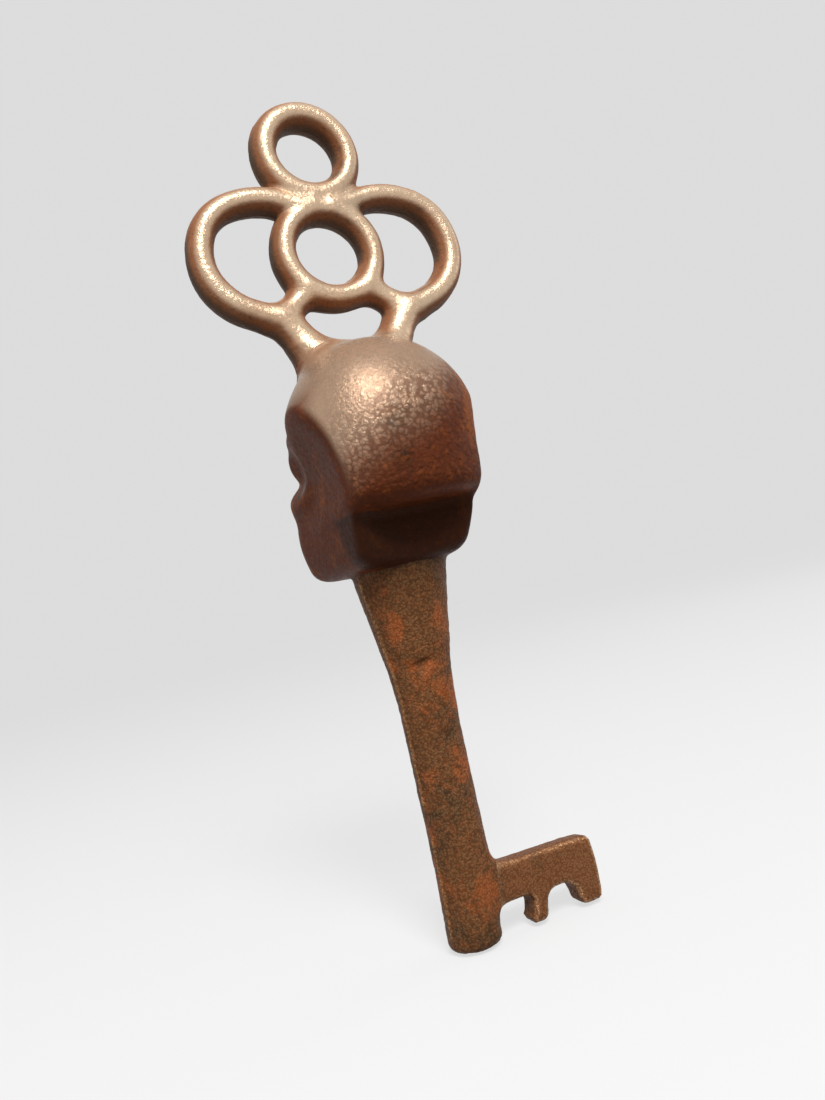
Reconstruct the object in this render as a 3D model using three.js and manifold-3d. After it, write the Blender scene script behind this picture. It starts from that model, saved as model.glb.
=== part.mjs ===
// A cast iron skeleton key with a skull between its bow and its shank.
// Millimetres. +Z runs up the shank towards the bow, the face looks along -Y, and the bit points along -X.
// The origin is the hang point, the inside top of the top ring's hole, where a nail or hook carries the key.

import * as THREE from 'three';
import { mergeVertices } from 'three/addons/utils/BufferGeometryUtils.js';
import Module from 'manifold-3d';

const wasm = await Module();
wasm.setup();

// Driving sizes of the whole key
const overallLength = 139.6;
const seamGap = 0.3;
const cutOverrun = 6;
const weldDistance = overallLength * 1e-6;

// Rings of the bow: two oval bars bent round, one above the other
const ringBarWidth = 4.3;
const ringBarDepth = 6.4;
const topRingRadius = 6.95;
const centreRingRadius = 7.5;
const ringPitch = 16.95;
const topRingZ = ringBarWidth / 2 - topRingRadius;
const centreRingZ = topRingZ - ringPitch;
const topRingFoot = topRingZ - topRingRadius - ringBarWidth / 2;
const centreRingCrown = centreRingZ + centreRingRadius + ringBarWidth / 2;
const ringSeamZ = (topRingFoot + centreRingCrown) / 2;

// Side loops: each leaves the joint of the rings, sweeps out and comes back as a leg on the skull's crown.
// Both are cast a little to one side: by the shift at their tops, and by the lean more at the crown.
const loopBarWidth = 4.4;
const loopBarDepth = 6.3;
const loopReach = 21.35;
const loopShift = 0.1;
const loopLean = 0.5;
const loopHeight = 26.2;
const loopLift = 0.7;
const loopTopZ = ringSeamZ + loopLift;
const crownZ = loopTopZ - loopHeight;
// Each pair is a share of the reach outwards and a share of the loop's height downwards
const loopPathShares = [
  [0.2, 0.045], [0.42, 0], [0.58, 0], [0.775, 0.045], [0.915, 0.14], [0.99, 0.28], [1, 0.415],
  [0.945, 0.54], [0.82, 0.65], [0.665, 0.715], [0.53, 0.765], [0.435, 0.835], [0.36, 0.92],
  [0.285, 1.02], [0.215, 1.2],
];
const strutLandingShares = [0.55, 0.757];

// Struts: short bars from the centre ring's shoulders down to the loops
const strutWidth = 3.9;
const strutDepth = 5.8;
const strutAngle = THREE.MathUtils.degToRad(50);

// Skull: a dome behind a face, flat underneath at the back. Its forms are given as widths across X,
// depths along Y and heights along Z, placed from the key's axis and from the dome's widest level.
const domeWidth = 30.8;
const domeLength = 28.4;
const domeHeight = 15.7;
const domeBackShift = 5.8;
const domeSquareness = 2.1;
const napeDrop = 11.7;
const napeSquareness = 8;
const domeZ = crownZ - domeHeight;
const shelfZ = domeZ - napeDrop;
const crownPad = { width: 13, depth: 6, height: 6, forward: 0, rise: 13.6 };
const forehead = { width: 24.6, depth: 17, height: 17, forward: 4.9, rise: 1.6 };
const browRidge = setInForehead({ width: 9.6, depth: 5, height: 3.4, side: 5.2, setback: 2.2, rise: 2.9 });
const browEnd = setInForehead({ width: 3.6, depth: 6, height: 5.4, side: 9.8, setback: 4.8, rise: 0.2 });
const noseBridge = setInForehead({ width: 4.2, depth: 5, height: 9.5, setback: 2, rise: -1.6 });
const cheek = { width: 5.6, depth: 11, height: 4.4, side: 9.4, forward: 7.6, rise: -6 };
const cheekFront = setInForehead({ width: 7.4, depth: 5.2, height: 4.2, side: 6.6, setback: 2.5, rise: -6.4 });
const temple = { width: 24, depth: 90, height: 37.6, side: 22.8, forward: -4, rise: -9 };
const orbitNotch = { width: 5, depth: 8, height: 6.4, side: 13.5, forward: 6.4, rise: -1.6 };

// Hollows pressed into the face from the front
const faceHollows = [
  { width: 8, height: 7.2, depth: 4.5, side: 5.2, rise: -1.9 },
  { width: 3.2, height: 4.8, depth: 2.4, side: 1, rise: -7.5 },
];
const hollowFloorShare = 0.5;

// Block under the face: bowed sides that draw together towards the back, a front with round corners that
// leans back, a scooped back wall that slopes in towards the neck, and a chin
const faceWidth = 25;
const faceTaperShare = 0.095;
const faceSideRadius = 20;
const faceWidestRise = 2.7;
const faceAdvance = 0.6;
const faceFront = forehead.forward + forehead.depth / 2 + faceAdvance;
const faceBack = 12.8;
const faceCornerBlend = 5;
const faceLean = 2.6;
const faceLeanPower = 1.5;
const faceTopDrop = 2;
const backSlope = 0.62;
const backCornerBlend = 1.8;
const undersideBlend = 2.4;
const palateDrop = 2.5;
const jawHeight = 5.8;
const biteZ = shelfZ - palateDrop;
const chinZ = biteZ - jawHeight;
const scoopRadius = 14;
const scoopDepth = 3;
const chinSetback = 2;
const chin = { width: 10, depth: 6, height: 4.6, forward: faceFront - chinSetback, rise: -17.4 };

// How far the skull's forms flow into each other, and where the rays that find its surface start
const broadBlend = 4;
const softBlend = 3;
const firmBlend = 1.6;
const headCentre = new THREE.Vector3(0, -2, domeZ - 6);
const rayStep = 0.4;
const rayReach = 34;

// Teeth: shallow upright grooves along the bite line, above and below
const toothPitch = 2.5;
const toothGrooves = 9;
const grooveWidth = 0.5;
const grooveDepth = 0.6;
const upperGrooveHeight = 3;
const lowerGrooveHeight = 2.6;

// Shank: a round bar that flares into the neck
const shankRadius = 4.55;
const tipRadius = 4.6;
const tipChamfer = 1;
const neckRadius = 7.75;
const neckLength = 27;
const tipLength = 22;
const shankEndZ = ringBarWidth - overallLength;
const neckTopZ = chinZ - seamGap;
// Each pair is a share of the neck's flare and a share of the neck's length, from its foot up
const neckFlareShares = [[0, 0], [0.05, 0.2], [0.2, 0.4], [0.41, 0.55], [0.67, 0.75], [0.9, 0.9], [1, 1]];

// Bit: a flat plate with two teeth that point along the shank to its end
const bitThickness = 4.8;
const bitReach = 22.6;
const bitTop = 11.2;
const bitTopFall = 0.5;
const bitFoot = 0.3;
const outerToothWidth = 3.9;
const outerToothLean = 1.1;
const wideNotchWidth = 4.7;
const wideNotchHeight = 4.7;
const innerToothWidth = 2.7;
const innerToothLean = 0.9;
const innerNotchHeight = 5;
const bitCornerRadius = 1.2;
const bitArchRadius = 2.2;
const bitBevel = 0.6;

// Facet counts
const ringSteps = 36;
const barSides = 12;
const loopSteps = 44;
const strutSteps = 2;
const headSegments = 92;
const headRings = 64;
const halvings = 30;
const shankSegments = 36;
const bitArcSteps = 3;

// Materials: every piece is the same rusty iron, a little lighter where hands have polished it
const ironMaterial = (name, color, roughness) =>
  new THREE.MeshStandardMaterial({ name, color, roughness, metalness: 0.6 });
const wornIron = ironMaterial('worn_iron', 0x8a6a52, 0.45);
const rustyIron = ironMaterial('rusty_iron', 0x6b4a35, 0.6);

// Turns a closed three.js geometry into a solid that can be joined and cut
function solidFrom(geometry, flip = false) {
  const bare = new THREE.BufferGeometry();
  bare.setAttribute('position', geometry.getAttribute('position').clone());
  if (geometry.index) bare.setIndex(geometry.index.clone());
  const merged = mergeVertices(bare, weldDistance);
  const vertProperties = new Float32Array(merged.getAttribute('position').array);
  const kept = [];
  const index = merged.index.array;
  for (let i = 0; i < index.length; i += 3) {
    const [a, b, c] = [index[i], index[i + 1], index[i + 2]];
    if (a !== b && b !== c && c !== a) kept.push(...(flip ? [b, a, c] : [a, b, c]));
  }
  const mesh = new wasm.Mesh({ numProp: 3, vertProperties, triVerts: new Uint32Array(kept) });
  return new wasm.Manifold(mesh);
}

// Some turned, swept and extruded shapes come out with their faces looking inwards: those are flipped
function solidOutwards(geometry) {
  const solid = solidFrom(geometry);
  return solid.volume() > 0 ? solid : solidFrom(geometry, true);
}

function meshFrom(name, solid, material) {
  const { vertProperties, triVerts } = solid.getMesh();
  const geometry = new THREE.BufferGeometry();
  geometry.setAttribute('position', new THREE.BufferAttribute(new Float32Array(vertProperties), 3));
  geometry.setIndex(new THREE.BufferAttribute(new Uint32Array(triVerts), 1));
  geometry.computeVertexNormals();
  const mesh = new THREE.Mesh(geometry, material);
  mesh.name = name;
  return mesh;
}

// An oval section: x of the shape runs through the bow, y across the bar
function ovalShape(depth, width, sides) {
  const points = [];
  for (let i = 0; i < sides; i += 1) {
    const angle = (2 * Math.PI * (i + 0.5)) / sides;
    points.push(new THREE.Vector2((depth / 2) * Math.cos(angle), (width / 2) * Math.sin(angle)));
  }
  return new THREE.Shape(points);
}

// A ring in the plane of the bow: the oval section turned about the ring's own axis, which lies along Y
function ringSolid(radius, z, growth) {
  const width = ringBarWidth + 2 * growth;
  const depth = ringBarDepth + 2 * growth;
  const profile = ovalShape(width, depth, barSides).getPoints();
  profile.forEach((point) => { point.x += radius; });
  profile.push(profile[0].clone());
  const geometry = new THREE.LatheGeometry(profile, ringSteps);
  geometry.translate(0, 0, z);
  return solidOutwards(geometry);
}

// An oval bar swept along a curve
function barSolid(curve, depth, width, steps) {
  const section = ovalShape(depth, width, barSides);
  return solidOutwards(new THREE.ExtrudeGeometry(section, { steps, extrudePath: curve }));
}

// A closed outline with each corner rounded by the radius that goes with it
function roundedShape(corners, arcSteps) {
  const points = [];
  corners.forEach(({ at, radius }, i) => {
    const before = corners[(i + corners.length - 1) % corners.length].at;
    const after = corners[(i + 1) % corners.length].at;
    const toBefore = before.clone().sub(at).normalize();
    const toAfter = after.clone().sub(at).normalize();
    const halfAngle = Math.acos(toBefore.dot(toAfter)) / 2;
    const room = Math.min(before.distanceTo(at), after.distanceTo(at)) / 2;
    const reach = Math.min(radius / Math.tan(halfAngle), room);
    if (reach === 0) {
      points.push(at.clone());
      return;
    }
    const start = at.clone().addScaledVector(toBefore, reach);
    const end = at.clone().addScaledVector(toAfter, reach);
    const centre = at.clone().addScaledVector(
      toBefore.clone().add(toAfter).normalize(), reach / Math.cos(halfAngle));
    const from = start.clone().sub(centre);
    const turn = from.angleTo(end.clone().sub(centre)) * Math.sign(from.cross(end.clone().sub(centre)));
    for (let k = 0; k <= arcSteps; k += 1) {
      points.push(start.clone().rotateAround(centre, (turn * k) / arcSteps));
    }
  });
  return new THREE.Shape(points);
}

// Bow

function loopPoint(side, [out, down]) {
  return new THREE.Vector3(
    side * out * loopReach - loopShift - loopLean * down, 0, loopTopZ - down * loopHeight);
}

function loopCurve(side) {
  return new THREE.CatmullRomCurve3(loopPathShares.map((shares) => loopPoint(side, shares)));
}

const topRingGrown = ringSolid(topRingRadius, topRingZ, seamGap);
const centreRingGrown = ringSolid(centreRingRadius, centreRingZ, seamGap);

function topRing() {
  const ring = ringSolid(topRingRadius, topRingZ, 0);
  return ring.trimByPlane([0, 0, 1], ringSeamZ + seamGap / 2);
}

function centreRing() {
  const ring = ringSolid(centreRingRadius, centreRingZ, 0);
  return ring.trimByPlane([0, 0, -1], seamGap / 2 - ringSeamZ);
}

function loop(side, skullGrown) {
  const bar = barSolid(loopCurve(side), loopBarDepth, loopBarWidth, loopSteps);
  return bar.subtract(topRingGrown).subtract(centreRingGrown).subtract(skullGrown);
}

function strut(side) {
  const start = new THREE.Vector3(
    side * centreRingRadius * Math.cos(strutAngle), 0, centreRingZ - centreRingRadius * Math.sin(strutAngle));
  const end = loopPoint(side, strutLandingShares);
  const bar = barSolid(new THREE.LineCurve3(start, end), strutDepth, strutWidth, strutSteps);
  const loopGrown = barSolid(
    loopCurve(side), loopBarDepth + 2 * seamGap, loopBarWidth + 2 * seamGap, loopSteps);
  return bar.subtract(centreRingGrown).subtract(loopGrown);
}

// Skull

// The middle of a form of the brow or cheek lies behind the front of the forehead by its setback
function setInForehead(form) {
  return { ...form, forward: forehead.forward + forehead.depth / 2 - form.setback };
}

// Distances from a point to a form: negative inside it, zero on its surface

function ellipsoidDistance(x, y, z, { width, depth, height, side = 0, forward, rise }) {
  const [a, b, c] = [width / 2, depth / 2, height / 2];
  const [u, v, w] = [x - side, y + forward, z - rise];
  const scaled = Math.hypot(u / a, v / b, w / c);
  const slope = Math.hypot(u / a ** 2, v / b ** 2, w / c ** 2);
  return slope > 0 ? (scaled * (scaled - 1)) / slope : -Math.min(a, b, c);
}

function blended(a, b, reach) {
  return Math.min(a, b) - Math.max(reach - Math.abs(a - b), 0) ** 2 / (4 * reach);
}

function hollowed(a, hollow, reach) {
  return -blended(-a, hollow, reach);
}

// The dome is half an ellipsoid, a little full at its corners, above its widest level. Below it the
// walls drop almost straight and turn in at the nape with a rounded edge.
function domeDistance(x, y, z) {
  const across = Math.abs(x) / (domeWidth / 2);
  const along = Math.abs(y - domeBackShift) / (domeLength / 2);
  const level = (across ** domeSquareness + along ** domeSquareness) ** (1 / domeSquareness);
  const power = z < 0 ? napeSquareness : 2;
  const height = z < 0 ? -z / napeDrop : z / domeHeight;
  return ((level ** power + height ** power) ** (1 / power) - 1) * napeDrop;
}

// The block under the face: inside its side, its front, its back wall, its top and its underside, with
// rounded edges between them
function blockDistance(x, y, z) {
  const top = -faceTopDrop;
  const bite = biteZ - domeZ;
  const bottom = chinZ - domeZ;
  const faceRise = THREE.MathUtils.clamp((z - bite) / (top - bite), 0, 1);
  const half = faceWidth / 2 - faceTaperShare * (y + faceFront)
    - (z - bite - faceWidestRise) ** 2 / (2 * faceSideRadius);
  const front = faceFront - faceLean * faceRise ** faceLeanPower;
  const back = (y - faceBack - backSlope * (z - bite)) / Math.hypot(1, backSlope);
  const scoop = Math.hypot(x, y - (faceBack - scoopDepth + scoopRadius)) - scoopRadius;
  let block = hollowed(x - half, y + front, faceCornerBlend);
  block = hollowed(block, -back, backCornerBlend);
  block = hollowed(block, z - bottom, undersideBlend);
  block = hollowed(block, top - z, firmBlend);
  return hollowed(block, scoop, firmBlend);
}

// The whole head with its jaw. The key is the same on both sides, so x is taken without its sign.
function headDistance(px, y, pz) {
  const x = Math.abs(px);
  const z = pz - domeZ;
  const form = (shape) => ellipsoidDistance(x, y, z, shape);
  let head = blended(domeDistance(x, y, z), form(forehead), softBlend);
  head = hollowed(head, form(temple), firmBlend);
  head = blended(head, blockDistance(x, y, z), firmBlend);
  head = blended(head, form(cheek), softBlend);
  head = blended(head, form(cheekFront), firmBlend);
  head = blended(head, form(browRidge), firmBlend);
  head = blended(head, form(browEnd), firmBlend);
  head = blended(head, form(noseBridge), firmBlend);
  head = hollowed(head, form(orbitNotch), softBlend);
  head = blended(head, form(chin), firmBlend);
  return blended(head, form(crownPad), broadBlend);
}

// How deep the hollows of the face go at a place on its front
function hollowDepth(point) {
  if (point.y > headCentre.y) return 0;
  const depths = faceHollows.map(({ width, height, depth, side, rise }) => {
    const across = (Math.abs(point.x) - side) / (width / 2);
    const upright = (point.z - domeZ - rise) / (height / 2);
    return depth * (1 - THREE.MathUtils.smoothstep(Math.hypot(across, upright), hollowFloorShare, 1));
  });
  return Math.max(...depths);
}

// A closed surface round the head: every point of a sphere slides along its own ray to the place where
// the head ends, or to a growth outside it, and then back by the depth of the hollow it lies in
function headSolid(growth) {
  const geometry = new THREE.SphereGeometry(1, headSegments, headRings);
  const position = geometry.getAttribute('position');
  const ray = new THREE.Vector3();
  const point = new THREE.Vector3();
  const outside = (reach) => headDistance(
    headCentre.x + ray.x * reach, headCentre.y + ray.y * reach, headCentre.z + ray.z * reach) > growth;
  for (let i = 0; i < position.count; i += 1) {
    ray.fromBufferAttribute(position, i);
    let high = rayStep;
    while (high < rayReach && !outside(high)) high += rayStep;
    let low = high - rayStep;
    for (let k = 0; k < halvings; k += 1) {
      const middle = (low + high) / 2;
      if (outside(middle)) high = middle;
      else low = middle;
    }
    point.copy(headCentre).addScaledVector(ray, low);
    point.addScaledVector(ray, -hollowDepth(point));
    position.setXYZ(i, point.x, point.y, point.z);
  }
  return solidFrom(geometry);
}

// Upright grooves between the teeth, spread along the front of the block
function toothCuts(lowZ, height) {
  let cuts = null;
  for (let i = 0; i < toothGrooves; i += 1) {
    const x = (i - (toothGrooves - 1) / 2) * toothPitch;
    const groove = new THREE.BoxGeometry(grooveWidth, 2 * grooveDepth, height);
    groove.translate(x, -faceFrontAt(x), lowZ + height / 2);
    const solid = solidFrom(groove);
    cuts = cuts ? cuts.add(solid) : solid;
  }
  return cuts;
}

// How far the front of the block lies from the key's axis at a place across it, at the bite line
function faceFrontAt(x) {
  let [low, high] = [0, faceFront];
  for (let k = 0; k < halvings; k += 1) {
    const middle = (low + high) / 2;
    if (headDistance(x, -middle, biteZ) > 0) high = middle;
    else low = middle;
  }
  return low;
}

function skull(head) {
  const low = biteZ + seamGap / 2;
  return head.trimByPlane([0, 0, 1], low)
    .subtract(toothCuts(low - cutOverrun, upperGrooveHeight + cutOverrun));
}

function jaw(head) {
  const high = biteZ - seamGap / 2;
  return head.trimByPlane([0, 0, -1], -high).trimByPlane([0, 0, 1], chinZ)
    .subtract(toothCuts(high - lowerGrooveHeight, lowerGrooveHeight + cutOverrun));
}

// Shank and bit

function shankRadiusAt(flare) {
  return shankRadius + (neckRadius - shankRadius) * flare;
}

function shankSolid(growth) {
  const profile = [
    new THREE.Vector2(0, shankEndZ),
    new THREE.Vector2(tipRadius - tipChamfer + growth, shankEndZ),
    new THREE.Vector2(tipRadius + growth, shankEndZ + tipChamfer),
    new THREE.Vector2(shankRadius + growth, shankEndZ + tipLength),
  ];
  neckFlareShares.forEach(([flare, rise]) => {
    profile.push(new THREE.Vector2(shankRadiusAt(flare) + growth, neckTopZ - neckLength * (1 - rise)));
  });
  profile.push(new THREE.Vector2(0, neckTopZ));
  const geometry = new THREE.LatheGeometry(profile, shankSegments);
  geometry.rotateX(Math.PI / 2);
  return solidOutwards(geometry);
}

// The outline of the bit: x is the distance from the shank's axis, y the height above the shank's end
function bitOutline() {
  const outerTooth = bitReach - outerToothWidth;
  const notchOuter = outerTooth - outerToothLean;
  const notchInner = notchOuter - wideNotchWidth;
  const innerTooth = notchInner - innerToothLean;
  const innerToothInside = innerTooth - innerToothWidth;
  const corner = (x, y, radius = bitCornerRadius) => ({ at: new THREE.Vector2(x, y), radius });
  return roundedShape([
    corner(0, bitTop, 0),
    corner(0, innerNotchHeight, 0),
    corner(innerToothInside + innerToothLean, innerNotchHeight),
    corner(innerToothInside, bitFoot),
    corner(innerTooth, bitFoot),
    corner(notchInner, wideNotchHeight, bitArchRadius),
    corner(notchOuter, wideNotchHeight, bitArchRadius),
    corner(outerTooth, bitFoot),
    corner(bitReach, bitFoot),
    corner(bitReach, bitTop - bitTopFall),
  ], bitArcSteps);
}

function bit() {
  const geometry = new THREE.ExtrudeGeometry(bitOutline(), {
    depth: bitThickness - 2 * bitBevel,
    bevelThickness: bitBevel,
    bevelSize: bitBevel,
    bevelOffset: -bitBevel,
    bevelSegments: 1,
  });
  geometry.translate(0, 0, bitBevel - bitThickness / 2);
  geometry.rotateX(Math.PI / 2);
  geometry.rotateZ(Math.PI);
  geometry.translate(0, 0, shankEndZ);
  return solidOutwards(geometry).subtract(shankSolid(seamGap));
}

const head = headSolid(0);
const headGrown = headSolid(seamGap);

const key = new THREE.Group();
key.add(
  meshFrom('top_ring', topRing(), wornIron),
  meshFrom('centre_ring', centreRing(), wornIron),
  meshFrom('left_loop', loop(1, headGrown), wornIron),
  meshFrom('right_loop', loop(-1, headGrown), wornIron),
  meshFrom('left_strut', strut(1), wornIron),
  meshFrom('right_strut', strut(-1), wornIron),
  meshFrom('skull', skull(head), rustyIron),
  meshFrom('jaw', jaw(head), rustyIron),
  meshFrom('shank', shankSolid(0), rustyIron),
  meshFrom('bit', bit(), rustyIron),
);

export default key;
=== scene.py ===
# A cast iron skeleton key with a skull between its bow and its shank, hung by its top ring.
#
# Shapes are worked out in millimetres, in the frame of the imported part, and become metres when a mesh is
# made: +Z runs up the shank, the face looks along -Y, the bit points along -X, and the origin is the inside
# top of the top ring's hole. The key is one casting, so its pieces flow into each other with fillets. Each
# piece has a distance field, negative inside it, and its surface swells where neighbours are near, by an
# amount that all of them work out alike. So they meet in one smooth fillet, and past it they sink into
# each other.

import itertools

import bpy
import numpy as np
from mathutils import Matrix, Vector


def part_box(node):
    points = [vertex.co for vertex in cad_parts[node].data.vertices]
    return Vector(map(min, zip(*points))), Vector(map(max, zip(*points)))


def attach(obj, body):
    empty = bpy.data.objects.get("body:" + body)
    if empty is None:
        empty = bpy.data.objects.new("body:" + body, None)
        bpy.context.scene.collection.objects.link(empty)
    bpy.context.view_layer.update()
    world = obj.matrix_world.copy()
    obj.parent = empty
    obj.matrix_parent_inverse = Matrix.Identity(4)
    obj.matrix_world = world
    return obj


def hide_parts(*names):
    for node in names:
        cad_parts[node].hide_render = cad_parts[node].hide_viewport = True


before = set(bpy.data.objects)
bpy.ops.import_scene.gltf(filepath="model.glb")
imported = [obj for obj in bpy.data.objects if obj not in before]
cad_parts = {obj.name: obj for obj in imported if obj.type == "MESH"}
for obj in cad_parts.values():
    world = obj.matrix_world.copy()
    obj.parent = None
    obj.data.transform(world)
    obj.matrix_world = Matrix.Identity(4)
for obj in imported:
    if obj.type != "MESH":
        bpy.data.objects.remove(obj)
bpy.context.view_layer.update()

MM = 0.001

# Rings of the bow
RING_WIDTH = 4.3
RING_DEPTH = 6.4
TOP_RING_RADIUS = 6.95
CENTRE_RING_RADIUS = 7.5
RING_PITCH = 16.95
# How far each ring is out of round: sideways, upwards and, as an oval, along its two slants
TOP_RING_WAVES = (0.4, 0, -0.05, 0.15)
CENTRE_RING_WAVES = (0.13, 0.06, -0.05, 0.08)
TOP_RING_Z = RING_WIDTH / 2 - TOP_RING_RADIUS
CENTRE_RING_Z = TOP_RING_Z - RING_PITCH
RING_SEAM_Z = (TOP_RING_Z - TOP_RING_RADIUS + CENTRE_RING_Z + CENTRE_RING_RADIUS) / 2

# Side loops and struts
LOOP_WIDTH = 4.4
LOOP_DEPTH = 6.3
LOOP_REACH = 21.35
LOOP_SHIFT = 0.1
LOOP_LEAN = 0.5
LOOP_HEIGHT = 26.2
LOOP_LIFT = 0.7
LOOP_TOP_Z = RING_SEAM_Z + LOOP_LIFT
CROWN_Z = LOOP_TOP_Z - LOOP_HEIGHT
# Each pair is a share of the reach outwards and a share of the loop's height downwards
LOOP_PATH_SHARES = [
    (0.07, 0.05), (0.2, 0.045), (0.42, 0), (0.58, 0), (0.775, 0.045), (0.915, 0.14), (0.99, 0.28),
    (1, 0.415), (0.945, 0.54), (0.82, 0.65), (0.665, 0.715), (0.53, 0.765), (0.435, 0.835), (0.36, 0.92),
    (0.285, 1.02), (0.215, 1.2),
]
# Each pair is a share of the loop's line and the bar's width there over the common width
LOOP_SWELL_SHARES = [(0, 0.7), (0.06, 0.95), (0.3, 0.95), (0.45, 1.02), (0.7, 1.05), (0.82, 1.2), (1, 1.4)]
STRUT_WIDTH = 3.9
STRUT_DEPTH = 5.4
STRUT_ANGLE = np.radians(50)
STRUT_START_RADIUS = CENTRE_RING_RADIUS + 0.7
STRUT_LANDING_SHARES = (0.515, 0.742)
BAR_FULLNESS = 2.0

# Skull: each form is a width across X, a depth along Y and a height along Z, placed by how far it lies to
# the side, forward of the key's axis and above the dome's widest level
DOME_WIDTH = 30.8
DOME_LENGTH = 28.4
DOME_HEIGHT = 15.7
DOME_BACK_SHIFT = 5.8
DOME_SQUARENESS = 2.1
NAPE_DROP = 11.7
NAPE_SQUARENESS = 8
DOME_Z = CROWN_Z - DOME_HEIGHT
CROWN_PAD = (13, 6, 6, 0, 0, 13.6)
FOREHEAD = (24.6, 17, 17, 0, 4.9, 1.6)
BROW_RIDGE = (9.6, 5, 3.4, 5.2, 11.2, 2.9)
BROW_END = (3.6, 6, 5.4, 9.8, 8.6, 0.2)
NOSE_BRIDGE = (4.2, 5, 9.5, 0, 11.4, -1.6)
CHEEK = (5.6, 11, 4.4, 9.4, 7.6, -6)
CHEEK_FRONT = (7.4, 5.2, 4.2, 6.6, 10.9, -6.4)
TEMPLE = (24, 90, 37.6, 22.8, -4, -9)
ORBIT_NOTCH = (5, 8, 6.4, 13.5, 6.4, -1.6)
CHIN = (10, 6, 4.6, 0, 12, -17.4)
# Hollows pressed into the face: width, height, depth, side and rise
FACE_HOLLOWS = [(7.4, 7.2, 4, 5.1, -1.9), (3.2, 4.8, 2.4, 1, -7.5)]
HOLLOW_FLOOR_SHARE = 0.5
HOLLOW_LIMIT_Y = -4
FACE_WIDTH = 25
FACE_TAPER_SHARE = 0.095
FACE_SIDE_RADIUS = 20
FACE_WIDEST_RISE = 2.7
FACE_FRONT = 14
FACE_BACK = 12.8
FACE_CORNER = 5
FACE_LEAN = 2.6
FACE_LEAN_POWER = 1.5
FACE_TOP_DROP = 2
BACK_SLOPE = 0.62
BACK_CORNER = 1.8
UNDERSIDE = 2.4
PALATE_DROP = 2.5
JAW_HEIGHT = 5.8
BITE_Z = DOME_Z - NAPE_DROP - PALATE_DROP
CHIN_Z = BITE_Z - JAW_HEIGHT
SCOOP_RADIUS = 14
SCOOP_DEPTH = 3
TOOTH_PITCH = 2.5
TOOTH_GROOVE = 0.5
TOOTH_DEPTH = 0.55
TOOTH_ROOT = 0.9
UPPER_TOOTH = 3.2
LOWER_TOOTH = 2.8
BITE_GROOVE = 0.55
TEETH_HALF_WIDTH = 10.6

# Shank and bit
SHANK_END_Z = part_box("shank")[0].z / MM
SHANK_RADIUS = 4.55
TIP_RADIUS = 4.35
TIP_LEAN = 0.6
TIP_LEAN_LENGTH = 12
NECK_SHIFT = 0.25
TIP_EDGE = 1.3
NECK_RADIUS = 7.75
NECK_LENGTH = 27
TIP_LENGTH = 22
NECK_TOP_Z = CHIN_Z + 1.6
NECK_FLARE_SHARES = [(0, 0), (0.05, 0.2), (0.2, 0.4), (0.41, 0.55), (0.67, 0.75), (0.9, 0.9), (1, 1)]
BIT_HALF = (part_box("bit")[1].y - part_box("bit")[0].y) / 2 / MM
BIT_REACH = -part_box("bit")[0].x / MM
BIT_TOP = 11.2
BIT_TOP_FALL = 0.5
BIT_FOOT = 0.3
BIT_EDGE = 1.1
BIT_TILT = 0.1
BIT_CORNER = 1.2
BIT_ARCH = 2.2
# The bit's worn edges: its top bulges before its outer corner, its outer edge is bowed, and its inner tooth
# ends in a hook
BIT_BULGE = 0.3
BIT_BULGE_INSET = 3.6
BIT_BULGE_CURVE = 9
BIT_CORNER_INSET = 0.2
BIT_BOW = 0.3
BIT_BOW_CURVE = 30
BIT_HOOK = 0.8
BIT_HOOK_HEIGHT = 1.5
BIT_HOOK_TIP = 0.6
BIT_HOOK_CURVE = 0.8
OUTER_TOOTH = 3.9
OUTER_LEAN = 1.1
WIDE_NOTCH = 4.7
WIDE_NOTCH_HEIGHT = 4.7
INNER_TOOTH = 2.7
INNER_LEAN = 0.9
INNER_NOTCH_HEIGHT = 5

# How far the forms of the head flow into each other, and how far neighbouring pieces do at each height
BROAD = 4
SOFT = 3
FIRM = 1.6
SEAM_SLOPE = 1.0
FLOW_HEIGHTS = [-129, -124, -118, -105, -80, -74, -47, -42, -37, -34, -30, -26, -20]
FLOW_REACHES = [0.75, 1.2, 1.2, 0.75, 0.75, 0.4, 0.8, 2.0, 1.7, 0.95, 0.75, 0.7, 0.45]
FLOW_END = 9
SWELL_ROOM = 3.5
SINK = 0.6


# Fields

def ramp(value, low, high):
    """0 below low, 1 above high and a smooth step between."""
    t = np.clip((value - low) / (high - low), 0, 1)
    return t * t * (3 - 2 * t)


def bump(value, middle, spread):
    """A bell round a middle: the exponential of minus the square of how many spreads the value is off."""
    return np.exp(-((value - middle) / spread) ** 2)


def blended(a, b, reach):
    """Smooth union of two fields: the lesser one, less (reach - |a - b|) squared over 4 reach where they
    are closer than reach."""
    return np.minimum(a, b) - np.maximum(reach - np.abs(a - b), 0) ** 2 / (4 * reach)


def hollowed(a, hollow, reach):
    """Field a with a hollow taken out of it, its edge rounded in the same way."""
    return -blended(-a, hollow, reach)


def oval_distance(across, through, half_width, half_depth):
    """Distance to a full oval: with q the power mean of both coordinates over their half sizes, it is
    (q - 1) over the length of q's gradient."""
    p = BAR_FULLNESS
    u = np.abs(across) / half_width
    v = np.abs(through) / half_depth
    q = np.maximum((u ** p + v ** p) ** (1 / p), 1e-6)
    slope = np.hypot((u / q) ** (p - 1) / half_width, (v / q) ** (p - 1) / half_depth)
    return (q - 1) / slope


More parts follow.
